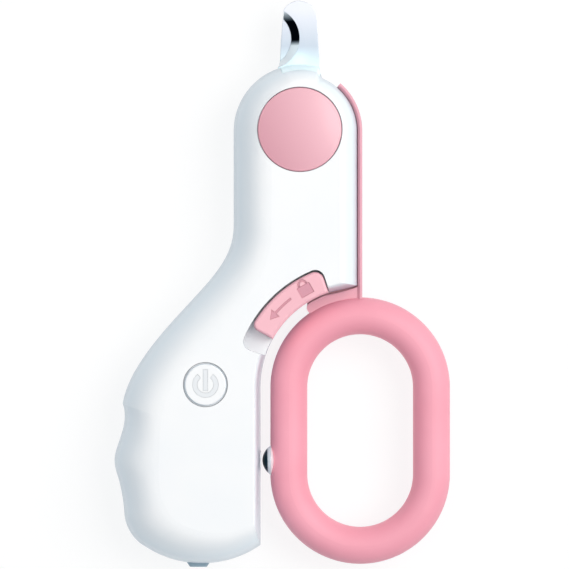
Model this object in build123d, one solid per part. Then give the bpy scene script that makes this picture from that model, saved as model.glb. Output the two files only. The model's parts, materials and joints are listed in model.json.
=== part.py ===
# Scissor nail clipper for pets: grip body with built-in lamp, a lever with a rubber finger ring,
# and two notched blades that shear past each other.  It lies on its back: +Z is the front face,
# +Y points to the blade tips, +X to the finger ring.  The origin is on the pivot axis, at the back.
import os
from math import cos, sin, sqrt, radians
from build123d import *

os.makedirs("parts", exist_ok=True)

# ---------------------------------------------------------------- driving dimensions (mm)
HALF = 10.0                 # half of the body thickness; the shells part at this height
WALL = 1.8                  # shell wall
R_NOSE_R = 13.2             # body nose about the pivot, right side
R_SHOULDER = 37.9           # lower right edge of the neck, about the pivot
CROWN_SIDE, CROWN_SHOULDER, CROWN_GAP, CROWN_TAIL = 4.0, 1.9, 1.6, 5.5     # reach of the rounding
LENS_A0, LENS_A1, LENS_TOP = 70.0, 107.0, 17.2    # lamp lens in the nose, degrees about the pivot

RING_X, RING_Y = 13.9, -58.9          # upper arc centre of the finger ring
RING_RUN = 20.0                       # straight length of the ring
R_RING, R_TUBE, R_CORE = 16.4, 4.25, 2.4
R_GAP = 22.9                          # grip edge that follows the ring, about the ring centre
GRIP_X = RING_X - R_GAP
TAIL_Y = -95.2                        # sharp lower right corner of the grip
STOP_Y = -75.7                        # height of the stop stud and its seat

# outline of the body as pairs: edge point, crown point
NOSE = [((-15.2, 0.0), (-6.4, 0.0)), ((-12.06, 9.25), (-5.1, 5.5)), ((-3.93, 14.68), (-1.6, 10.0)),
        ((0.72, 15.18), (0.7, 10.5)), ((4.45, 14.53), (2.95, 10.2))]
NOSE_SIDE = [((5.2, 12.13), (3.6, 9.75)), ((10.84, 7.53), (7.56, 5.25)), ((13.2, 0.0), (9.2, 0.0))]
NECK = [((-15.2, -22.0), (-6.4, -22.0)), ((-17.0, -29.0), (-8.6, -32.5)),
        ((-21.8, -35.6), (-13.8, -40.5)), ((-29.4, -43.9), (-21.6, -49.0)),
        ((-35.4, -51.3), (-27.4, -56.0)), ((-39.3, -58.0), (-30.4, -61.5)),
        ((-40.75, -62.6), (-31.4, -65.5))]
GRIP = [((-40.75, -62.6), (-31.4, -65.5)), ((-40.35, -67.0), (-31.8, -69.0)),
        ((-41.5, -71.2), (-32.0, -72.5)), ((-42.6, -76.0), (-32.1, -76.0)),
        ((-41.6, -80.2), (-32.0, -79.5)), ((-40.7, -84.5), (-31.8, -82.5)),
        ((-40.3, -88.4), (-31.0, -85.0))]
TAIL = [((-40.3, -88.4), (-31.0, -85.0)), ((-38.9, -92.3), (-29.6, -87.6)),
        ((-35.2, -95.75), (-27.2, -89.6))]
BOTTOM = ((-23.0, -99.4), (-20.5, -91.8))

# heights of the moving stack, from the back up
Z_BOSS = 6.3                # top of the back boss
Z_ARM0, Z_ARM1 = 6.7, 9.7   # lever plate
Z_HUB = 8.45                # the plate is thinner here, under the moving blade
Z_MOV1 = 9.95               # top of the moving blade
Z_FIX0, Z_FIX1 = 10.05, 11.55         # fixed blade
R_SHANK, R_BUSH_IN, R_BUSH = 2.5, 2.55, 3.6
R_SEAT = 9.7               # recess of the front cap
Z_SEAT = 18.2

STRIP_IN, STRIP_OUT = 13.32, 14.35     # edge band of the lever, about the pivot
STRIP_END = 49.5                      # degrees
STRIP_Z0, STRIP_Z1 = 5.4, 11.8
SHOULDER_TOP = 11.2

BTN_X, BTN_Y, R_BTN, BTN_GAP = -21.5, -58.1, 4.75, 0.35
LOCK_IN, LOCK_OUT, POCKET_OUT = 22.9, 28.6, 29.0
LOCK_A0, LOCK_A1 = 108.7, 151.0       # slider ends, degrees about the ring centre
POCKET_A0, POCKET_A1 = 108.1, 161.3
Z_POCKET = 15.0
PORT_X = -23.3
SCREWS = [(-9.8, -27.5), (-34.6, -61.5), (-34.8, -86.0), (-13.7, -91.2)]
BOARD_POSTS = [(-28.0, -55.4), (-15.8, -55.2), (-29.5, -91.2)]
BOARD_Z0, BOARD_Z1 = 7.5, 8.3


# ---------------------------------------------------------------- small helpers
def polar(r, deg, cx=0.0, cy=0.0):
    return (cx + r * cos(radians(deg)), cy + r * sin(radians(deg)))


def mix(a, b, f):
    return (a[0] + (b[0] - a[0]) * f, a[1] + (b[1] - a[1]) * f)


def cyl(r, z0, z1, x=0.0, y=0.0):
    return Pos(x, y, (z0 + z1) / 2) * Cylinder(r, z1 - z0)


def tube(r_out, r_in, z0, z1, x=0.0, y=0.0):
    return cyl(r_out, z0, z1, x, y) - cyl(r_in, z0 - 1, z1 + 1, x, y)


def block(x0, x1, y0, y1, z0, z1):
    return Pos((x0 + x1) / 2, (y0 + y1) / 2, (z0 + z1) / 2) * Box(x1 - x0, y1 - y0, z1 - z0)


def plate(edges, z0, z1):
    """Prism from a closed chain of edges drawn on the ground plane."""
    return Pos(0, 0, z0) * extrude(make_face(edges), z1 - z0)


def poly_plate(points, z0, z1):
    return plate(Polyline(*points, points[0]).edges(), z0, z1)


def sector(r0, r1, a0, a1, z0, z1, cx=0.0, cy=0.0):
    """Ring segment between two radii and two angles."""
    am, r0 = (a0 + a1) / 2, max(r0, 0.01)
    p = [polar(r0, a0, cx, cy), polar(r1, a0, cx, cy), polar(r1, a1, cx, cy), polar(r0, a1, cx, cy)]
    edges = [Line(p[0], p[1]), ThreePointArc(p[1], polar(r1, am, cx, cy), p[2]),
             Line(p[2], p[3]), ThreePointArc(p[3], polar(r0, am, cx, cy), p[0])]
    return plate([e.edge() for e in edges], z0, z1)


def upright_edges(solid, radius_test):
    return [e for e in solid.edges().filter_by(Axis.Z) if radius_test(e.center())]


def flip(solid):
    """Mirror front to back about the parting plane."""
    return mirror(solid, about=Plane.XY.offset(HALF))


# ---------------------------------------------------------------- body form
def body_section(share, z, inset):
    """Outline of the body, moved in by `inset` and then part of the way to the crown."""
    def drawn_in(pair):
        b, c = pair
        run = sqrt((c[0] - b[0]) ** 2 + (c[1] - b[1]) ** 2)
        return mix(mix(b, c, inset / run), c, share)

    def reach(crown):
        return inset + (crown - inset) * share

    rr, rs, rg = R_NOSE_R - reach(CROWN_SIDE), R_SHOULDER - reach(CROWN_SHOULDER), R_GAP + reach(CROWN_GAP)
    gx = RING_X - rg
    corner_s = (rr, -sqrt(rs * rs - rr * rr))
    corner_t = (gx, TAIL_Y + reach(CROWN_TAIL))
    nose, side, neck, grip, tail = ([drawn_in(p) for p in row] for row in (NOSE, NOSE_SIDE, NECK, GRIP, TAIL))
    gap_end = polar(rg, 112, RING_X, RING_Y)
    away = (sin(radians(112)), -cos(radians(112)))
    along = (-corner_s[1] / rs, corner_s[0] / rs)
    edges = [ThreePointArc(nose[2], nose[1], nose[0]), Line(nose[0], neck[0]),
             Spline(*neck), Spline(*grip), ThreePointArc(*tail),
             ThreePointArc(tail[-1], drawn_in(BOTTOM), corner_t), Line(corner_t, (gx, RING_Y)),
             ThreePointArc((gx, RING_Y), polar(rg, 146, RING_X, RING_Y), gap_end),
             Spline(gap_end, corner_s, tangents=[away, along]), Line(corner_s, side[2]),
             ThreePointArc(side[2], side[1], side[0]), Line(side[0], nose[4]),
             ThreePointArc(nose[4], nose[3], nose[2])]
    return Wire([e.edge() for e in edges]).moved(Location((0, 0, z)))


def half_body(inset=0.0):
    """Front half of the pillow-shaped body, from the parting plane up."""
    rings = []
    for a in (0, 18, 36, 52, 66, 78, 90):
        share = 1 - cos(radians(a))
        rings.append(body_section(share, HALF + (HALF - inset) * sin(radians(a)), inset))
    return Solid.make_loft(rings)


# ---------------------------------------------------------------- body shells
def screw_post(x, y, r=2.6):
    return cyl(r, HALF, HALF * 2, x, y)


def front_shell():
    outer = half_body()
    shell = outer - half_body(WALL)
    # pivot boss, cap seat, screw posts, lock floor: all trimmed to the outer form
    inner = cyl(8.6, Z_FIX1, 19, 0, 0) + cyl(11.2, 16.4, 19.5)
    inner += block(-4.6, 4.6, 0, 8.6, Z_FIX1, 19)
    for x, y in SCREWS:
        inner += screw_post(x, y)
    inner += sector(R_GAP, POCKET_OUT + 1.5, POCKET_A0 - 3.2, POCKET_A1 + 2.8, 13.5, 19.5, RING_X, RING_Y)
    inner += tube(R_BTN + 2.0, R_BTN + BTN_GAP, 17.9, 19, BTN_X, BTN_Y)
    shell += inner & outer
    # lock pocket, open to the concave edge, with the arc slot for the stem
    pocket = sector(R_GAP - 3, POCKET_OUT, POCKET_A0, POCKET_A1, Z_POCKET, 22, RING_X, RING_Y)
    shell -= round_pocket(pocket)
    shell -= sector(25.2, 26.8, 121.5, 146.5, 13, 16, RING_X, RING_Y)
    # pivot bore, bolt head, cap recess
    shell -= cyl(R_SHANK + 0.1, 10, 20) + cyl(4.3, 15.6, 20) + cyl(R_SEAT, Z_SEAT, 22)
    # blade and lamp openings in the nose
    shell -= fixed_blade_form(0.12, Z_FIX0 - 1, Z_FIX1)
    shell -= sector(10.6, 20, LENS_A0 - 0.2, LENS_A1 + 0.2, Z_FIX1, LENS_TOP + 0.1)
    shell -= sector(9, 17, 95, 142, 9, Z_FIX0 + 0.2)
    shell -= block(-4.7, 4.7, 8.6, 10.9, Z_FIX1, 16.3)
    # pin holes, screw holes, button hole, port, seat of the bumper pad
    for s in (-1, 1):
        shell -= cyl(0.8, Z_FIX1 - 1, 14.2, 6.8 * s, -2.5)
    for x, y in SCREWS:
        shell -= cyl(1.0, 9, 15.6, x, y)
    shell -= cyl(R_BTN + BTN_GAP, 15, 22, BTN_X, BTN_Y)
    shell -= port_opening()
    shell -= bumper_form()
    shell -= parting_chamfer_cut()
    return shell


def round_pocket(pocket):
    far = upright_edges(pocket, lambda c: abs(polar_radius(c) - POCKET_OUT) < 0.1)
    return fillet(far, 2.2)


def polar_radius(c):
    return sqrt((c.X - RING_X) ** 2 + (c.Y - RING_Y) ** 2)


def parting_chamfer_cut():
    """Fine step that reads as the seam between the shells."""
    band = half_body() - half_body(0.25)
    return band & block(-60, 40, -120, 40, HALF - 1, HALF + 0.22)


def port_opening():
    box = block(PORT_X - 4.75, PORT_X + 4.75, -104, -95.5, HALF - 1.8, HALF + 1.6)
    return fillet(box.edges().filter_by(Axis.Y), 1.5)


def back_shell():
    outer = flip(half_body())
    shell = outer - flip(half_body(WALL))
    inner = cyl(6.6, 0.5, Z_BOSS)
    for x, y in SCREWS:
        inner += cyl(2.6, 0, HALF, x, y)
    for x, y in BOARD_POSTS:
        inner += cyl(1.7, 0.5, BOARD_Z0, x, y)
    # spring anchor, battery fence
    inner += cyl(1.2, 0.6, 5.0, 9.0, -9.0)
    inner += block(-31.0, -30.0, -84, -64, 1, 5.5) + block(-29, -15, -88.6, -87.4, 1, 5.5)
    shell += inner & outer
    # pivot bore, nut pocket, cap recess
    shell -= cyl(R_SHANK + 0.1, 1, 8) + hexagon(7.1, 1.4, 4.3) + cyl(6.1, -1, 1.4)
    for x, y in SCREWS:
        shell -= cyl(1.15, 1, 12, x, y) + cyl(2.1, -1, 4.4, x, y)
    for x, y in BOARD_POSTS:
        shell -= cyl(0.7, 2.6, 9, x, y)
    shell -= lever_slot()
    shell -= port_opening()
    shell -= bumper_form()
    shell -= flip(parting_chamfer_cut())
    return shell


def hexagon(across_flats, z0, z1):
    return Pos(0, 0, z0) * extrude(RegularPolygon(across_flats / 2, 6, major_radius=False), z1 - z0)


def lever_slot():
    """Rim cut down so the lever plate and the moving blade can sweep through the side."""
    edge = sector(0, 20, -45, 71.5, Z_BOSS, 12)
    neck = poly_plate([(-4, -10), (-4, -30), (0.2, -37), (0.2, -43), (20, -43), (20, 0)],
                      Z_BOSS, 12)
    return edge + neck + sector(0, 20, 57, 140, 8.2, 12)


# ---------------------------------------------------------------- blades
def fixed_blade_form(grow, z0, z1):
    """Front blade with its nail notch on the left, tail around the pivot."""
    g = grow
    edges = [Line((-3.7, 25.64), (-3.7 - g, 27.8)),
             ThreePointArc((-3.7 - g, 27.8), (-2.3, 29.25), (-0.4, 29.9)),
             ThreePointArc((-0.4, 29.9), (1.35, 29.6), (2.8, 28.75)),
             ThreePointArc((2.8, 28.75), (3.65, 27.2), (4.0 + g, 25.5)),
             Line((4.0 + g, 25.5), (4.2 + g, 20.9)), Line((4.2 + g, 20.9), (4.75 + g, 12.4)),
             Line((4.75 + g, 12.4), (5.4 + g, 6.8)), ThreePointArc((5.4 + g, 6.8), (8.6, -1.0), (5.6, -6.6)),
             ThreePointArc((5.6, -6.6), (0, -8.6), (-5.6, -6.6)),
             ThreePointArc((-5.6, -6.6), (-8.6, -1.0), (-5.4 - g, 6.8)),
             Line((-5.4 - g, 6.8), (-5.0 - g, 14.5)),
             Line((-5.0 - g, 14.5), (-4.45, 16.1)),
             ThreePointArc((-4.45, 16.1), (-1.95, 21.2), (-3.7, 25.64))]
    return plate([e.edge() for e in edges], z0, z1)


def bevel_cut(edge, back):
    """Skewed cone from the cutting edge circle to the wider circle on the outer face."""
    return loft([Pos(*edge) * Circle(6.5), Pos(*back) * Circle(7.05)])


def fixed_blade():
    blade = fixed_blade_form(0, Z_FIX0, Z_FIX1)
    # hollow-ground bevel round the notch, pointing at the back face
    blade -= bevel_cut((-8.45, 21.2, Z_FIX0 + 0.15), (-7.1, 21.3, Z_FIX1))
    blade -= cyl(R_BUSH_IN, 9, 13)
    for s in (-1, 1):
        blade -= cyl(0.8, 9, 13, 6.8 * s, -2.5)
    return blade


def moving_blade():
    """Rear blade, notch on the right; it swings left when the ring is pulled away."""
    edges = [ThreePointArc((-3.9, 25.6), (-3.4, 27.3), (-2.6, 28.3)),
             ThreePointArc((-2.6, 28.3), (-1.2, 29.2), (0.2, 29.4)),
             ThreePointArc((0.2, 29.4), (1.9, 28.9), (3.2, 27.4)), Line((3.2, 27.4), (3.3, 26.67)),
             ThreePointArc((3.3, 26.67), (0.3, 21.2), (2.9, 16.0)), Line((2.9, 16.0), (4.2, 12.4)),
             Line((4.2, 12.4), (5.2, 6.1)), ThreePointArc((5.2, 6.1), (8.0, -0.4), (5.4, -5.9)),
             ThreePointArc((5.4, -5.9), (0, -8.0), (-5.4, -5.9)),
             ThreePointArc((-5.4, -5.9), (-8.0, -0.4), (-5.2, 6.1)), Line((-5.2, 6.1), (-4.7, 12.4)),
             Line((-4.7, 12.4), (-4.3, 20.9)), Line((-4.3, 20.9), (-3.9, 25.6))]
    blade = plate([e.edge() for e in edges], Z_HUB, Z_MOV1)
    blade -= bevel_cut((6.8, 21.2, Z_MOV1 - 0.15), (5.45, 21.3, Z_HUB))
    blade -= cyl(R_BUSH, 8, 11)
    for x, y in RIVETS:
        blade -= cyl(0.9, 8, 11, x, y)
    return blade


RIVETS = [(-5.3, -3.6), (5.3, -3.6)]


def blade_rivets():
    return [cyl(0.9, Z_ARM0 + 0.2, Z_MOV1 - 0.05, x, y) for x, y in RIVETS]


def blade_locating_pins():
    return [cyl(0.8, Z_FIX0 + 0.05, 14.2, 6.8 * s, -2.5) for s in (-1, 1)]


# ---------------------------------------------------------------- pivot
def pivot_bolt():
    bolt = cyl(R_SHANK, 4.4, 15.6) + cyl(2.0, 1.7, 4.4) + cyl(4.0, 15.6, 17.7)
    bolt -= Pos(0, 0, 16.3) * extrude(RegularPolygon(1.5, 6, major_radius=False), 3)
    return chamfer(bolt.faces().sort_by(Axis.Z)[-1].outer_wire().edges(), 0.4)


def pivot_nut():
    nut = hexagon(7.0, 1.5, 4.3) - cyl(2.0, 0, 6)
    return nut


def thrust_washer():
    return tube(6.0, 2.6, Z_BOSS, Z_BOSS + 0.3)


def pivot_bush():
    return tube(R_BUSH, R_BUSH_IN, Z_ARM0, Z_MOV1)


def front_pivot_cap():
    """Disc over the pivot with a shallow spherical dome and a rolled edge."""
    r, r_dome, ball, top = R_SEAT - 0.1, 9.15, 45.0, 20.7

    def dome(x):
        return top - ball + sqrt(ball * ball - x * x)

    edges = [Line((0, Z_SEAT), (r, Z_SEAT)), Line((r, Z_SEAT), (r, 19.4)),
             ThreePointArc((r, 19.4), (r - 0.12, dome(r_dome) - 0.09), (r_dome, dome(r_dome))),
             ThreePointArc((r_dome, dome(r_dome)), (r_dome / 2, dome(r_dome / 2)), (0, top)),
             Line((0, top), (0, Z_SEAT))]
    return revolve(Plane.XZ * make_face([e.edge() for e in edges]), Axis.Z)


def back_pivot_cap():
    cap = cyl(6.0, 0, 1.4)
    return chamfer(cap.faces().sort_by(Axis.Z)[0].outer_wire().edges(), 0.3)


def return_spring():
    """Torsion spring round the back boss: two and a half turns and two straight legs."""
    r_coil, z0, rise, turns = 7.4, 2.9, 0.9, 2.5
    z1 = z0 + rise * turns
    slope = rise / (2 * 3.14159265 * r_coil)
    coil = Pos(0, 0, z0) * Helix(rise, rise * turns, r_coil)
    foot = Line((r_coil, -11, z0 - 11 * slope), (r_coil, 0, z0))
    push = Line((-r_coil, 0, z1), (-r_coil, -9.5, z1 + 9.5 * slope))
    path = Wire([foot.edge(), coil.edge(), push.edge()])
    return sweep(Plane(origin=foot @ 0, z_dir=foot % 0) * Circle(0.35), path=path)


# ---------------------------------------------------------------- lever and finger ring
def stadium_path(z):
    top, low = RING_Y, RING_Y - RING_RUN
    x0, x1 = RING_X - R_RING, RING_X + R_RING
    return Wire([Line((x0, low, z), (x0, top, z)).edge(),
                 ThreePointArc((x0, top, z), (RING_X, top + R_RING, z), (x1, top, z)).edge(),
                 Line((x1, top, z), (x1, low, z)).edge(),
                 ThreePointArc((x1, low, z), (RING_X, low - R_RING, z), (x0, low, z)).edge()])


def stadium_tube(r):
    path = stadium_path(HALF)
    start = Plane(origin=(RING_X - R_RING, RING_Y - RING_RUN, HALF), z_dir=(0, 1, 0))
    return sweep(start * Circle(r), path=path)


def arm_plate():
    """Flat plate from the hub to the edge band and the shoulder."""
    left = [(-8.3, -2.5), (-7.2, -9.0), (-3.6, -20.0), (-0.6, -32.0), (1.6, -38.6)]
    plate_pts = left + [(1.9, -41.5), (13.35, -41.0), (13.35, 0), (0, 0)]
    solid = poly_plate(plate_pts, Z_ARM0, Z_ARM1) + cyl(9.2, Z_ARM0, Z_ARM1)
    fan = sector(8, 13.35, -30, STRIP_END, Z_ARM0, Z_ARM1)
    lug = poly_plate([(0, -28), (-2.6, -29), (-2.9, -36.2), (2, -36.6)], Z_ARM0, Z_ARM1) & cyl(35.7, 0, 20)
    return solid + fan + lug


def strip():
    """Edge band beside the neck, sloped towards the body along its top."""
    band = sector(STRIP_IN, STRIP_OUT, 0, STRIP_END, STRIP_Z0, STRIP_Z1)
    band += block(STRIP_IN, STRIP_OUT, -38.6, 0, STRIP_Z0, STRIP_Z1)
    top = band.faces().sort_by(Axis.Z)[-1].edges()
    inner = [e for e in top if abs(edge_reach(e @ 0.5) - STRIP_IN) < 0.05]
    return chamfer(inner, 0.5)


def edge_reach(p):
    """Distance of a point from the pivot beside the nose, or from the centre line beside the neck."""
    return sqrt(p.X * p.X + p.Y * p.Y) if p.Y > 0 else p.X


def shoulder():
    """Bridge between the plate and the finger ring, following the neck edge."""
    arc = sector(18.0, 22.6, 88.8, 124.5, Z_ARM0, SHOULDER_TOP, RING_X, RING_Y)
    end = upright_edges(arc, lambda c: c.X < 4 and polar_radius(c) > 20)
    arc = fillet(end, 1.3)
    arc += poly_plate([(4.4, -42.0), (4.4, -36.0), (STRIP_OUT, -34.0), (STRIP_OUT, -42.0)],
                      Z_ARM0, SHOULDER_TOP)
    neck = Pos(0, 0, Z_ARM0 - 1) * extrude(Face(body_section(0, 0, -0.3)), 10)
    return arc - neck - cyl(R_SHOULDER + 0.3, Z_ARM0 - 1, 20)


def lever_cover():
    """Edge band and shoulder in one moulding over the lever arm."""
    return strip() + shoulder() - lever_arm()


def lever_arm():
    arm = arm_plate() + stadium_tube(R_CORE)
    arm -= cyl(9.5, Z_HUB, 12) + hub_clearance()
    arm -= cyl(R_BUSH, 0, 20)
    for x, y in RIVETS:
        arm -= cyl(0.9, Z_ARM0 + 0.2, 11, x, y)
    # notch that takes the lock tooth
    arm -= sector(25.8, 28.9, 119.4, 124.4, 8.2, 12, RING_X, RING_Y)
    return arm


def hub_clearance():
    """The plate keeps to the thin hub height wherever a blade can lie over it."""
    return sector(0, 13.2, 40, 200, Z_HUB, 12)


def finger_ring():
    ring = stadium_tube(R_TUBE) - lever_arm() - lever_cover() - stadium_tube(R_CORE)
    return ring - stud_form()


def stud_form():
    """Lens-shaped head with a stem let into the ring."""
    edges = [ThreePointArc((-8.6, 0), (-8.12, 1.85), (-6.6, 3.5)),
             ThreePointArc((-6.6, 3.5), (-6.13, 2.75), (-5.75, 1.7)),
             Line((-5.75, 1.7), (-5.0, 1.7)), Line((-5.0, 1.7), (-5.0, 0)), Line((-5.0, 0), (-8.6, 0))]
    return Pos(0, STOP_Y, HALF) * revolve(make_face([e.edge() for e in edges]), Axis.X)


def stop_stud():
    return stud_form()


def bumper_form():
    """Soft seat let into the edge of the grip opposite the stop stud."""
    pad = block(GRIP_X - 1.1, GRIP_X + 0.1, STOP_Y - 2.1, STOP_Y + 2.1, HALF - 2.6, HALF + 2.6)
    return fillet(pad.edges().filter_by(Axis.X), 1.0)


# ---------------------------------------------------------------- lamp
def led_lens():
    return half_body() & sector(10.8, 20, LENS_A0, LENS_A1, Z_FIX1 + 0.15, LENS_TOP)


def led_board():
    return block(-4.5, 4.5, 8.6, 9.4, Z_FIX1 + 0.1, 16.2)


def led_chip():
    chip = block(-1.7, 1.7, 9.4, 10.3, 12.2, 15.2)
    return chip + Pos(0, 10.45, 13.7) * Rot(X=-90) * Cylinder(1.1, 0.3)


def led_wire(dx):
    """Insulated lead from the lamp round the pivot boss and down to the board."""
    pts = [(-3.4 + dx, 9.92, 14.2), (-5.4, 9.85 + dx / 3, 13.6),
           (-8.6 - dx, 6.3, 13.3), (-10.8 - dx, 0.5, 13.3),
           (-9.8 - dx, -9.0, 13.4), (-5.0 - dx, -20.0, 13.4), (-5.0 - dx, -30.5, 13.4),
           (-14.2 - dx, -43.0, 13.0), (-20.6 - dx, -51.2, 10.4), (-21.8 - dx, -54.2, BOARD_Z1 + 0.35)]
    path = Polyline(*pts)
    start = Plane(origin=pts[0], z_dir=path % 0)
    return sweep(start * Circle(0.4), path=path, transition=Transition.RIGHT)


# ---------------------------------------------------------------- electronics
def control_board():
    pts = [(-31, -53), (-12.6, -53), (-12.6, -87), (-17, -87), (-17, -94.6), (-31, -94.6)]
    board = poly_plate(pts, BOARD_Z0, BOARD_Z1)
    for x, y in BOARD_POSTS:
        board -= cyl(0.75, 7, 9, x, y)
    return board


def board_screw(x, y):
    return cyl(0.7, 3.4, BOARD_Z1, x, y) + cyl(1.35, BOARD_Z1, BOARD_Z1 + 0.9, x, y)


def battery_cell():
    cell = block(-29.8, -14.2, -87, -60.5, 2.9, 7.0)
    return fillet(cell.edges().filter_by(Axis.Y), 1.2)


def battery_pad():
    return block(-27.5, -16.5, -84, -64, 2.0, 2.9)


def usb_socket():
    y0, y1 = -97.4, -90.2
    z0, z1 = BOARD_Z1, BOARD_Z1 + 3.2
    box = block(PORT_X - 4.5, PORT_X + 4.5, y0, y1, z0, z1)
    box = fillet(box.edges().filter_by(Axis.Y), 1.1)
    bore = block(PORT_X - 4.2, PORT_X + 4.2, y0 - 1, y1 - 1.2, z0 + 0.3, z1 - 0.3)
    bore = fillet(bore.edges().filter_by(Axis.Y), 0.9)
    zc = (z0 + z1) / 2
    return box - bore + block(PORT_X - 3.2, PORT_X + 3.2, y0 + 1.2, y1 - 1, zc - 0.35, zc + 0.35)


def port_plug():
    """Soft plug in the charging port: tongue, flange and a small pull nub."""
    zc = BOARD_Z1 + 1.6
    tongue = block(PORT_X - 3.9, PORT_X + 3.9, -98.2, -93.2, zc - 1.0, zc + 1.0)
    tongue -= block(PORT_X - 3.6, PORT_X + 3.6, -97.0, -90, zc - 0.6, zc + 0.6)
    flange = block(PORT_X - 4.5, PORT_X + 4.5, -98.6, -97.7, zc - 1.45, zc + 1.45)
    flange = fillet(flange.edges().filter_by(Axis.Y), 1.3)
    neck = Plane.XZ.offset(98.5) * Pos(PORT_X, zc) * extrude(RectangleRounded(5.3, 2.4, 1.0), 0.7)
    nub_a = Plane.XZ.offset(99.2) * Pos(PORT_X, zc) * RectangleRounded(5.3, 2.4, 1.0)
    nub_b = Plane.XZ.offset(100.2) * Pos(PORT_X, zc) * RectangleRounded(3.9, 1.6, 0.7)
    return tongue + flange + neck + loft([nub_a, nub_b])


def tact_switch():
    body = block(BTN_X - 3, BTN_X + 3, BTN_Y - 3, BTN_Y + 3, BOARD_Z1, 11.6)
    return body - cyl(1.8, 10.4, 12, BTN_X, BTN_Y)


def switch_plunger():
    return cyl(1.6, 10.9, 12.6, BTN_X, BTN_Y)


def power_button():
    cap = cyl(R_BTN, 16.9, 20.15, BTN_X, BTN_Y)
    cap = fillet(cap.faces().sort_by(Axis.Z)[-1].outer_wire().edges(), 0.35)
    cap += cyl(R_BTN + BTN_GAP - 0.08, 16.9, 19.4, BTN_X, BTN_Y)
    cap += cyl(6.1, 16.2, 17.2, BTN_X, BTN_Y) + cyl(1.9, 12.6, 16.4, BTN_X, BTN_Y)
    ring = tube(2.95, 1.85, 20.03, 21, BTN_X, BTN_Y)
    ring -= poly_plate([(BTN_X, BTN_Y), (BTN_X - 2.9, BTN_Y + 4.0), (BTN_X + 2.9, BTN_Y + 4.0)], 19, 22)
    bar = block(BTN_X - 0.55, BTN_X + 0.55, BTN_Y - 1.4, BTN_Y + 3.5, 20.03, 21)
    return cap - ring - bar


# ---------------------------------------------------------------- lock
def lock_slider():
    """Curved thumb piece in the pocket, with a stem through the arc slot."""
    bar = sector(LOCK_IN + 0.05, LOCK_OUT, LOCK_A0, LOCK_A1, Z_POCKET + 0.2, 20.25, RING_X, RING_Y)
    far = upright_edges(bar, lambda c: abs(polar_radius(c) - LOCK_OUT) < 0.1)
    right = max(far, key=lambda e: e.center().X)
    bar = fillet([right], 2.2)
    far = upright_edges(bar, lambda c: abs(polar_radius(c) - LOCK_OUT) < 0.1)
    left = min(far, key=lambda e: e.center().X)
    bar = fillet([left], 1.6)
    top = bar.faces().sort_by(Axis.Z)[-1].outer_wire().edges()
    bar = fillet(top, 0.7)
    bar += sector(25.45, 26.55, 123, 135, 13.2, Z_POCKET + 0.4, RING_X, RING_Y)
    bar -= padlock_mark() + arrow_mark()
    return bar


def padlock_mark():
    """Closed padlock pictogram cut into the front of the slider."""
    zc = 20.05
    body = block(-1.6, 1.6, -1.5, 1.0, zc, 21)
    bow = tube(1.15, 0.65, zc, 21, 0, 1.2) - block(-2, 2, -1, 1.0, 19, 22)
    x, y = polar(25.9, 119.5, RING_X, RING_Y)
    return Pos(x, y, 0) * Rot(Z=29.5) * (body + bow)


def arrow_mark():
    zc = 20.05
    shaft = sector(25.65, 26.15, 128, 139, zc, 21, RING_X, RING_Y)
    tip = polar(25.9, 143, RING_X, RING_Y)
    a, b = polar(27.1, 138.6, RING_X, RING_Y), polar(24.7, 138.6, RING_X, RING_Y)
    return shaft + poly_plate([a, tip, b], zc, 21)


def lock_retainer():
    plate_part = sector(25.0, 28.6, 120, 138, 11.9, 13.2, RING_X, RING_Y)
    tooth = sector(26.2, 28.5, 120.3, 123.6, 10.1, 12.2, RING_X, RING_Y)
    x, y = polar(26.0, 129, RING_X, RING_Y)
    return plate_part + tooth - cyl(0.5, 11, 14, x, y)


def lock_screw():
    x, y = polar(26.0, 129, RING_X, RING_Y)
    return cyl(0.5, 11.9, 13.2, x, y) + cyl(1.1, 11.2, 11.9, x, y)


def lock_detent_spring():
    """Curved leaf along the outer side of the retainer plate."""
    return sector(29.0, 29.35, 118, 142, 11.9, 13.5, RING_X, RING_Y)


# ---------------------------------------------------------------- screws
def shell_screw(x, y):
    screw = cyl(1.0, 4.4, 15.4, x, y) + cyl(1.95, 2.9, 4.4, x, y)
    cross = block(x - 1.1, x + 1.1, y - 0.25, y + 0.25, 2, 3.7)
    cross += block(x - 0.25, x + 0.25, y - 1.1, y + 1.1, 2, 3.7)
    return screw - cross


# ---------------------------------------------------------------- write the pieces
PIECES = {
    "front_shell": front_shell, "back_shell": back_shell,
    "fixed_blade": fixed_blade, "moving_blade": moving_blade,
    "pivot_bolt": pivot_bolt, "pivot_nut": pivot_nut, "thrust_washer": thrust_washer,
    "pivot_bush": pivot_bush, "front_pivot_cap": front_pivot_cap, "back_pivot_cap": back_pivot_cap,
    "return_spring": return_spring, "lever_arm": lever_arm, "lever_cover": lever_cover,
    "finger_ring": finger_ring,
    "stop_stud": stop_stud, "bumper_pad": bumper_form,
    "led_lens": led_lens, "led_board": led_board, "led_chip": led_chip,
    "control_board": control_board, "battery_cell": battery_cell, "battery_pad": battery_pad,
    "usb_socket": usb_socket, "port_plug": port_plug, "tact_switch": tact_switch,
    "switch_plunger": switch_plunger, "power_button": power_button,
    "lock_slider": lock_slider, "lock_retainer": lock_retainer, "lock_screw": lock_screw,
    "lock_detent_spring": lock_detent_spring,
}
GROUPS = {
    "shell_screws": lambda: [shell_screw(x, y) for x, y in SCREWS],
    "board_screws": lambda: [board_screw(x, y) for x, y in BOARD_POSTS],
    "blade_rivets": blade_rivets, "blade_locating_pins": blade_locating_pins,
    "led_wires": lambda: [led_wire(0), led_wire(1.1)],
}


def save(name, shape):
    export_step(shape, "parts/" + name + ".step")


for node, make in PIECES.items():
    save(node, make())
for node, make in GROUPS.items():
    save(node, Compound(children=[Solid(s.solid().wrapped) for s in make()]))
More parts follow.
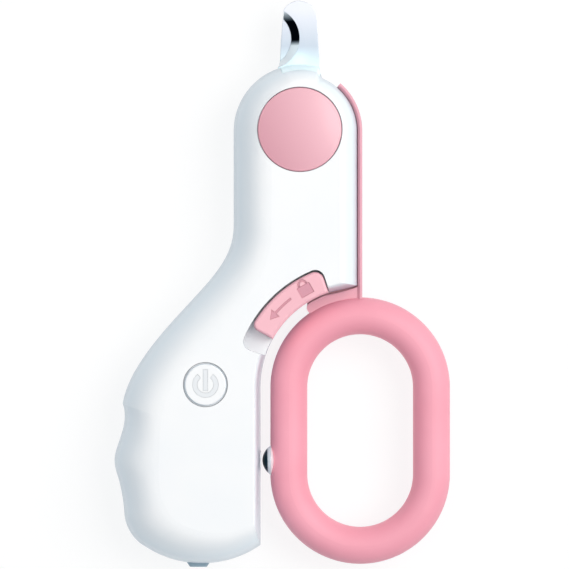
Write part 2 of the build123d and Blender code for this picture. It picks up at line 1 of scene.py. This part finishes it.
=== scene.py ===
import bpy
import json
import math
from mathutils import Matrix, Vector


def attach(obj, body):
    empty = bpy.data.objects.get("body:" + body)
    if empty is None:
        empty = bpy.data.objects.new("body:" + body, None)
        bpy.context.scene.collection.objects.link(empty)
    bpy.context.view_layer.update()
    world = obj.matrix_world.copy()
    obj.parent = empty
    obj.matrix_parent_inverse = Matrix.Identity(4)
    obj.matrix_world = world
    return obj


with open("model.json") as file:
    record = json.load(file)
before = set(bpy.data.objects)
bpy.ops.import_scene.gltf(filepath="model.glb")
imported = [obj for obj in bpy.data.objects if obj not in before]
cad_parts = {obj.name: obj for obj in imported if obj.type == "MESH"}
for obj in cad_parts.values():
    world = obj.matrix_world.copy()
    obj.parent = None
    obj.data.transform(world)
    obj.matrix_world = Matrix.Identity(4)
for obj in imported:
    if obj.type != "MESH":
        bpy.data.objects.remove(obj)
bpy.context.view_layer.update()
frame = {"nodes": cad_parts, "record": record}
nodes = frame["nodes"]
record = frame["record"]
scene = bpy.context.scene

MM = 0.001  # the frame is in metres

# Camera, in millimetres: it looks straight down, and the picture is VIEW_WIDTH wide at the height VIEW_PLANE.
VIEW_MIDDLE = (-3.5, -35.3)
VIEW_WIDTH, VIEW_PLANE = 130.9, 10.0
LENS, SENSOR = 250.0, 36.0

# Painted shade on the floors of the engraved marks, in millimetres
POWER_GROOVE, LOCK_GROOVE = 20.03, 20.05  # heights of the two groove floors
SINK = 0.01                               # the painted shade starts this far below its groove floor
GROOVE_SHADE_TOP = 20.1

WARM_WHITE = (1.0, 0.95, 0.90)
AIM = (0, -0.03, 0)                       # where the two main lamps point, in metres


# ------------------------------------------------------------------ shader helpers
def linear(colour):
    """An sRGB colour of 0 to 255 as linear light."""
    def channel(c):
        c /= 255.0
        return c / 12.92 if c <= 0.04045 else ((c + 0.055) / 1.055) ** 2.4
    return tuple(channel(c) for c in colour)


class Shader:
    """One material's node tree, built in object space so it sits still on every piece."""

    edge = 0.00018  # radius that catches the light on sharp edges, in metres
    mix_a, mix_b, mix_result = 6, 7, 2  # the colour sockets of a Mix node

    def __init__(self, name):
        self.mat = bpy.data.materials.new(name)
        self.mat.use_nodes = True
        self.tree = self.mat.node_tree
        self.bsdf = self.tree.nodes["Principled BSDF"]
        self.coord = self.tree.nodes.new("ShaderNodeTexCoord")

    def set(self, **values):
        """Socket values by name, with underscores for spaces."""
        for key, value in values.items():
            self.bsdf.inputs[key.replace("_", " ")].default_value = value
        return self

    def link(self, a, b):
        self.tree.links.new(a, b)

    def scaled(self, sx=1, sy=1, sz=1):
        """Object coordinates in metres, stretched along each axis."""
        m = self.tree.nodes.new("ShaderNodeMapping")
        m.inputs["Scale"].default_value = (sx, sy, sz)
        self.link(self.coord.outputs["Object"], m.inputs["Vector"])
        return m.outputs["Vector"]

    def noise(self, vector, scale, detail, rough=0.55):
        n = self.tree.nodes.new("ShaderNodeTexNoise")
        n.inputs["Scale"].default_value = scale
        n.inputs["Detail"].default_value = detail
        n.inputs["Roughness"].default_value = rough
        self.link(vector, n.inputs["Vector"])
        return n.outputs["Fac"]

    def span(self, value, a, b, lo=0, hi=1):
        """Runs from lo to hi while the value runs from a to b, and stays level outside."""
        r = self.tree.nodes.new("ShaderNodeMapRange")
        r.inputs["From Min"].default_value = a
        r.inputs["From Max"].default_value = b
        r.inputs["To Min"].default_value = lo
        r.inputs["To Max"].default_value = hi
        self.link(value, r.inputs["Value"])
        return r.outputs["Result"]

    def mix(self, fac, a, b):
        """From a to b, each an sRGB colour or another node's output."""
        m = self.tree.nodes.new("ShaderNodeMix")
        m.data_type = "RGBA"
        for index, colour in ((self.mix_a, a), (self.mix_b, b)):
            if isinstance(colour, tuple):
                m.inputs[index].default_value = (*linear(colour), 1.0)
            else:
                self.link(colour, m.inputs[index])
        self.link(fac, m.inputs[0])
        return m.outputs[self.mix_result]

    def maths(self, operation, a, b=None):
        m = self.tree.nodes.new("ShaderNodeMath")
        m.operation = operation
        self.link(a, m.inputs[0])
        if b is not None:
            self.link(b, m.inputs[1])
        return m.outputs[0]

    def axis(self, vector, name):
        """One component of the object coordinate or of the normal."""
        split = self.tree.nodes.new("ShaderNodeSeparateXYZ")
        self.link(vector, split.inputs["Vector"])
        return split.outputs[name]

    def level(self):
        """1 on a face that lies flat, 0 on an upright wall."""
        geometry = self.tree.nodes.new("ShaderNodeNewGeometry")
        return self.maths("ABSOLUTE", self.axis(geometry.outputs["Normal"], "Z"))

    def bump(self, height, strength, distance):
        """Fine relief on top of softened edges."""
        b = self.tree.nodes.new("ShaderNodeBump")
        b.inputs["Strength"].default_value = strength
        b.inputs["Distance"].default_value = distance
        soft = self.tree.nodes.new("ShaderNodeBevel")
        soft.samples = 4
        soft.inputs["Radius"].default_value = self.edge
        self.link(soft.outputs["Normal"], b.inputs["Normal"])
        self.link(height, b.inputs["Height"])
        self.link(b.outputs["Normal"], self.bsdf.inputs["Normal"])

    def colour(self, out):
        self.link(out, self.bsdf.inputs["Base Color"])

    def rough(self, out):
        self.link(out, self.bsdf.inputs["Roughness"])

    def metallic(self, out):
        self.link(out, self.bsdf.inputs["Metallic"])


# ------------------------------------------------------------------ materials
def plastic(name, light, dark, rough, coat=0.0, wall_shade_colour=None):
    """Moulded plastic: faint cloudiness, fine spark-eroded grain, uneven gloss, optional painted shade on its
    sloping and steep sides.
    """
    grain, grain_depth = 3600, 0.00002
    shaded_slope, side = (0.55, 0.97), (0.0, 0.4)  # how level the faces that get the two tones of painted shade are
    s = Shader(name)
    v = s.scaled()
    tone = s.mix(s.span(s.noise(v, 60, 3), 0.35, 0.65), light, dark)
    if wall_shade_colour:
        # Painted shade: a faint cool tone on sloping faces, then the darker wall tone on steep walls
        tone = s.mix(s.span(s.level(), *shaded_slope, 1, 0), tone, (238, 246, 251))
        tone = s.mix(s.span(s.level(), *side, 1, 0), tone, wall_shade_colour)
    s.colour(tone)
    s.rough(s.span(s.noise(v, 350, 5), 0.3, 0.7, rough - 0.04, rough + 0.05))
    s.bump(s.noise(v, grain, 3), 0.25, grain_depth)
    s.set(Coat_Weight=coat, Coat_Roughness=0.12, Specular_IOR_Level=0.45)
    return s


def steel(name, light, dark, rough, stretch):
    """Ground or turned metal: fine lines along one direction."""
    s = Shader(name)
    lines = s.noise(s.scaled(*stretch), 1.0, 4, 0.5)
    cloud = s.noise(s.scaled(), 90, 3)
    s.colour(s.mix(s.span(lines, 0.3, 0.7), light, dark))
    s.rough(s.span(cloud, 0.3, 0.7, rough - 0.05, rough + 0.07))
    s.bump(lines, 0.3, 0.00002)
    s.set(Metallic=1.0)
    return s


def blade_steel():
    """Satin flat, and a mirror-ground hollow bevel wherever the surface leans towards the notch, both with painted
    reflections: the bevel's is dark in its middle stretch and bright at its ends, and the flat greys past a
    painted pool of lamp light at the base, then lightens towards the tip.
    """
    # Stretches along the blade, in metres from the pivot
    dark_reflection_start, dark_reflection_end = (0.0196, 0.0208), (0.0252, 0.0274)  # soft ends of the bevel's painted dark reflection
    # Painted pool of the lamp's light at the base, then a painted reflection that lightens towards the tip
    painted_lamp_light, reflection_towards_tip = (0.0145, 0.0195), (0.0195, 0.028)
    s = Shader("blade_steel")
    y = s.axis(s.scaled(), "Y")
    flat = s.span(s.level(), 0.90, 0.97)
    lines = s.noise(s.scaled(14000, 500, 14000), 1.0, 3, 0.5)
    # Painted dark reflection in the middle stretch of the bevel
    dark = s.maths("MULTIPLY", s.span(y, *dark_reflection_start), s.span(y, *dark_reflection_end, 1, 0))
    bevel = s.mix(dark, (236, 243, 247), (14, 20, 27))
    # Painted reflection on the flat, with painted lamp light near the base
    face = s.mix(s.span(y, *reflection_towards_tip), (188, 199, 211), (220, 223, 231))
    face = s.mix(s.span(y, *painted_lamp_light), (216, 236, 242), face)
    s.colour(s.mix(flat, bevel, face))
    s.rough(s.span(flat, 0, 1, 0.12, 0.36))
    s.bump(lines, 0.2, 0.000004)
    s.metallic(s.maths("MAXIMUM", flat, dark))
    return s


def stud_chrome():
    """Polished dome with painted reflections: painted dark on the side turned to the grip's gap, a painted
    highlight of the lamp on the ring side.
    """
    reflection_divide = (-0.00752, -0.00722)  # x where the painted dark reflection turns to the painted highlight, in metres
    s = Shader("stud_chrome")
    v = s.scaled()
    wobble = s.span(s.noise(v, 120, 2), 0.3, 0.7, -0.0001, 0.0001)
    x = s.maths("ADD", s.axis(v, "X"), wobble)
    # Painted dark reflection and painted highlight, split along x
    s.colour(s.mix(s.span(x, *reflection_divide), (2, 50, 66), (246, 252, 254)))
    s.rough(s.span(s.noise(v, 400, 3), 0.3, 0.7, 0.08, 0.14))
    s.bump(s.noise(v, 2000, 2), 0.1, 0.000001)
    s.metallic(s.span(x, *reflection_divide, 1, 0.25))
    return s


def disc_pink():
    """Satin pivot cap with painted shade towards its lower left and painted light towards its upper right."""
    s = plastic("disc_pink", *PLASTICS["cap_pink"])
    v = s.scaled(1, 0.45, 1)
    across = s.maths("ADD", s.axis(v, "X"), s.axis(v, "Y"))
    # Painted light and shade: darker to the lower left, lighter to the upper right
    s.colour(s.mix(s.span(across, -0.0100, 0.0110), (224, 159, 172), (248, 192, 202)))
    return s


# Material slot: light tone, dark tone, roughness, clear coat, painted shade on the steep sides
PLASTICS = {
    # body_white's last tone is painted shade for its steep walls
    "body_white": ((251, 251, 251), (248, 249, 250), 0.32, 0.25, (186, 202, 214)),
    "cap_pink": ((238, 177, 189), (235, 173, 186), 0.34, 0.25),
    "arm_pink": ((237, 173, 186), (233, 168, 182), 0.38, 0.15),
    "ring_rubber": ((249, 168, 184), (246, 163, 179), 0.5),
    "lens_frost": ((236, 250, 253), (230, 247, 251), 0.42),
    "led_yellow": ((250, 240, 190), (240, 226, 160), 0.3),
    "board_green": ((30, 92, 60), (20, 74, 46), 0.35, 0.3),
    "switch_black": ((34, 34, 36), (26, 26, 28), 0.45),
    "cell_silver": ((196, 198, 202), (180, 183, 188), 0.3, 0.2),
    "foam_grey": ((92, 92, 94), (70, 70, 72), 0.9),
    "plug_grey": ((160, 183, 196), (150, 173, 187), 0.55),
    "pad_white": ((232, 236, 238), (224, 229, 232), 0.6),
    "pom_white": ((236, 236, 230), (226, 226, 220), 0.45),
    "wire_red": ((176, 30, 26), (150, 22, 20), 0.5),
}
# Material slot: light tone, dark tone, roughness, how far the grinding lines are squeezed along each axis
METALS = {
    "steel": ((196, 197, 200), (176, 178, 182), 0.3, (3000, 3000, 600)),
    "spring_steel": ((180, 182, 186), (160, 162, 168), 0.28, (900, 900, 5000)),
    "brass": ((222, 186, 110), (204, 168, 94), 0.28, (2000, 2000, 500)),
}

mats = {slot: plastic(slot, *look) for slot, look in PLASTICS.items()}
mats.update({slot: steel(slot, *look) for slot, look in METALS.items()})
mats.update(blade_steel=blade_steel(), chrome=stud_chrome())
mats["lens_frost"].set(Emission_Color=(0.7, 0.95, 1.0, 1.0), Emission_Strength=0.17)

for part in record["subparts"]:
    slots = nodes[part["node"]].data.materials
    slots.clear()
    slots.append(mats[part["material_slot"]].mat)
slider_pink = plastic("slider_pink", (251, 191, 201), (248, 187, 197), 0.34, 0.25)
nodes["lock_slider"].data.materials[0] = slider_pink.mat
nodes["front_pivot_cap"].data.materials[0] = disc_pink().mat


# ------------------------------------------------------------------ small pieces the frame leaves plain
def add(name, data):
    """A new object in the scene."""
    obj = bpy.data.objects.new(name, data)
    scene.collection.objects.link(obj)
    return obj


def polar(radius, angle, cx, cy):
    return cx + radius * math.cos(math.radians(angle)), cy + radius * math.sin(math.radians(angle))


def arc(radius, a0, a1, steps, cx, cy):
    return [polar(radius, a0 + (a1 - a0) * i / steps, cx, cy) for i in range(steps + 1)]


def band(r0, r1, a0, a1, cx, cy, steps):
    """Outline of a piece of ring."""
    return arc(r1, a0, a1, steps, cx, cy) + arc(r0, a1, a0, steps, cx, cy)


def box(x0, x1, y0, y1):
    return [(x0, y0), (x1, y0), (x1, y1), (x0, y1)]


def placed(points, x, y, angle):
    """The points turned by the angle, then moved to x, y."""
    c, s = math.cos(math.radians(angle)), math.sin(math.radians(angle))
    return [(x + c * px - s * py, y + s * px + c * py) for px, py in points]


def slab(name, outlines, groove, mat, body):
    """Flat pieces from outlines in millimetres, joined in one mesh that lines a groove's floor."""
    z0, z1 = groove - SINK, GROOVE_SHADE_TOP
    verts, faces = [], []
    for pts in outlines:
        n, base = len(pts), len(verts)
        verts += [(x * MM, y * MM, z * MM) for z in (z0, z1) for x, y in pts]
        faces.append([base + n + i for i in range(n)])
        faces.append([base + i for i in reversed(range(n))])
        faces += [[base + i, base + (i + 1) % n, base + n + (i + 1) % n, base + n + i] for i in range(n)]
    mesh = bpy.data.meshes.new(name)
    mesh.from_pydata(verts, [], faces)
    mesh.update()
    mesh.materials.append(mat.mat)
    obj = add(name, mesh)
    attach(obj, body)


def middle(node):
    """Centre of a CAD node seen from the front, in millimetres; CAD nodes keep the frame's coordinates."""
    xs, ys, _ = zip(*(vertex.co for vertex in nodes[node].data.vertices))
    return [(min(values) + max(values)) / 2 / MM for values in (xs, ys)]


def power_mark_shade():
    """Painted shade on the floor of the power symbol moulded in the button: broken ring and bar."""
    x, y = middle("power_button")
    inset = 0.03     # the painted shade keeps clear of the groove's walls
    half_gap = 36.5  # degrees that the ring stays open on each side of the top
    ring = band(1.85 + inset, 2.95 - inset, 90 + half_gap, 450 - half_gap, x, y, 64)
    bar = box(-0.55 + inset, 0.55 - inset, -1.4 + inset, 3.5 - inset)
    # Painted shade in the groove: a grey a little darker than the button
    groove_shade = plastic("groove_shade_grey", (236, 238, 240), (232, 235, 238), 0.45)
    slab("power_symbol_shade", [ring, placed(bar, x, y, 0)], POWER_GROOVE, groove_shade, "button")


def lock_mark_shade():
    """Painted shade on the floor of the padlock and arrow engraved in the lock slider, along the arc it slides on.
    """
    joint = next(j for j in record["behaviour"]["joints"] if j["name"] == "lock_slide")
    cx, cy = (c / MM for c in joint["pos_m"][:2])
    line = 25.9  # radius of the arc through both marks
    lock_angle, tail, head, tip = 119.5, 128.1, 138.7, 142.8  # degrees along it: padlock, then the arrow
    # The padlock, upright about its own middle; like the arrow it keeps 0.05 mm clear of its groove's walls.
    case = box(-1.55, 1.55, -1.45, 0.95)
    bow = band(0.7, 1.1, 0, 180, 0, 1.2, 20)
    legs = [box(0.7, 1.1, 0.9, 1.25), box(-1.1, -0.7, 0.9, 1.25)]
    x, y = polar(line, lock_angle, cx, cy)
    shapes = [placed(shape, x, y, lock_angle - 90) for shape in (case, bow, *legs)]
    shapes.append(band(line - 0.2, line + 0.2, tail, head, cx, cy, 16))
    shapes.append([polar(line + 1.1, head, cx, cy), polar(line, tip, cx, cy), polar(line - 1.1, head, cx, cy)])
    # Painted shade in the groove: a deeper pink than the slider
    groove_shade = plastic("groove_shade_pink", (222, 158, 172), (216, 151, 166), 0.5)
    slab("lock_symbol_shade", shapes, LOCK_GROOVE, groove_shade, "lock")


power_mark_shade()
lock_mark_shade()


# ------------------------------------------------------------------ floor, light, camera
def light_table():
    """White floor that glows a little, so shadows on it stay faint."""
    bpy.ops.mesh.primitive_plane_add(size=6, location=(0, 0, -0.02 * MM))
    floor = bpy.context.object
    floor.name = "floor"
    s = Shader("light_table")
    v = s.scaled()
    s.colour(s.mix(s.noise(v, 30, 3), (128, 128, 128), (125, 125, 125)))
    s.bump(s.noise(v, 2500, 3), 0.1, 0.00001)
    s.set(Roughness=0.9, Specular_IOR_Level=0.1, Emission_Color=(1, 1, 1, 1), Emission_Strength=0.80)
    floor.data.materials.append(s.mat)


def studio():
    """Cool, dim light from all round."""
    world = bpy.data.worlds.new("studio")
    scene.world = world
    world.use_nodes = True
    background = world.node_tree.nodes["Background"]
    background.inputs["Color"].default_value = (0.66, 0.90, 1.12, 1.0)
    background.inputs["Strength"].default_value = 0.24


def aim(obj, direction):
    obj.rotation_euler = Vector(direction).to_track_quat("-Z", "Y").to_euler()


def lamp(name, place, target, side, radiance, colour=(1, 1, 1)):
    """A square soft box of a given brightness; its power follows from its area."""
    data = bpy.data.lights.new(name, "AREA")
    data.shape = "RECTANGLE"
    data.size = data.size_y = side
    data.energy = radiance * math.pi * side ** 2
    data.color = colour
    obj = add(name, data)
    obj.location = place
    aim(obj, Vector(target) - Vector(place))


def led_glow():
    """The clipper's own lamp, just past the end of its lens, shining forward and down on the blades' base."""
    data = bpy.data.lights.new("led_glow", "SPOT")
    data.energy, data.spot_size, data.spot_blend = 0.0004, math.radians(110), 0.8
    data.color, data.shadow_soft_size = (0.55, 0.93, 1.0), 0.002
    obj = add("led_glow", data)
    obj.location = (0, 15.3 * MM, 15.2 * MM)
    aim(obj, (0, 1, -0.85))


def top_camera():
    """An unturned camera looks straight down; a long lens keeps the perspective as slight as the photo's."""
    data = bpy.data.cameras.new("camera")
    data.lens, data.sensor_width = LENS, SENSOR
    data.clip_start, data.clip_end = 0.01, 20
    camera = add("camera", data)
    camera.location = (VIEW_MIDDLE[0] * MM, VIEW_MIDDLE[1] * MM, VIEW_PLANE * MM + VIEW_WIDTH * MM * LENS / SENSOR)
    scene.camera = camera


light_table()
studio()
lamp("overhead", (0.1, 0.1, 1.4), AIM, 2.4, 0.91, WARM_WHITE)
lamp("key", (0.54, 0.15, 0.76), AIM, 0.7, 3.4, WARM_WHITE)
led_glow()
lamp("card", (-0.42, 0.42, 0.22), (0, 0.02, 0.01), 0.16, 1.5)
top_camera()

scene.view_settings.view_transform = "Standard"
scene.view_settings.look = "None"
scene.view_settings.exposure = 0.0
scene.view_settings.gamma = 1.0
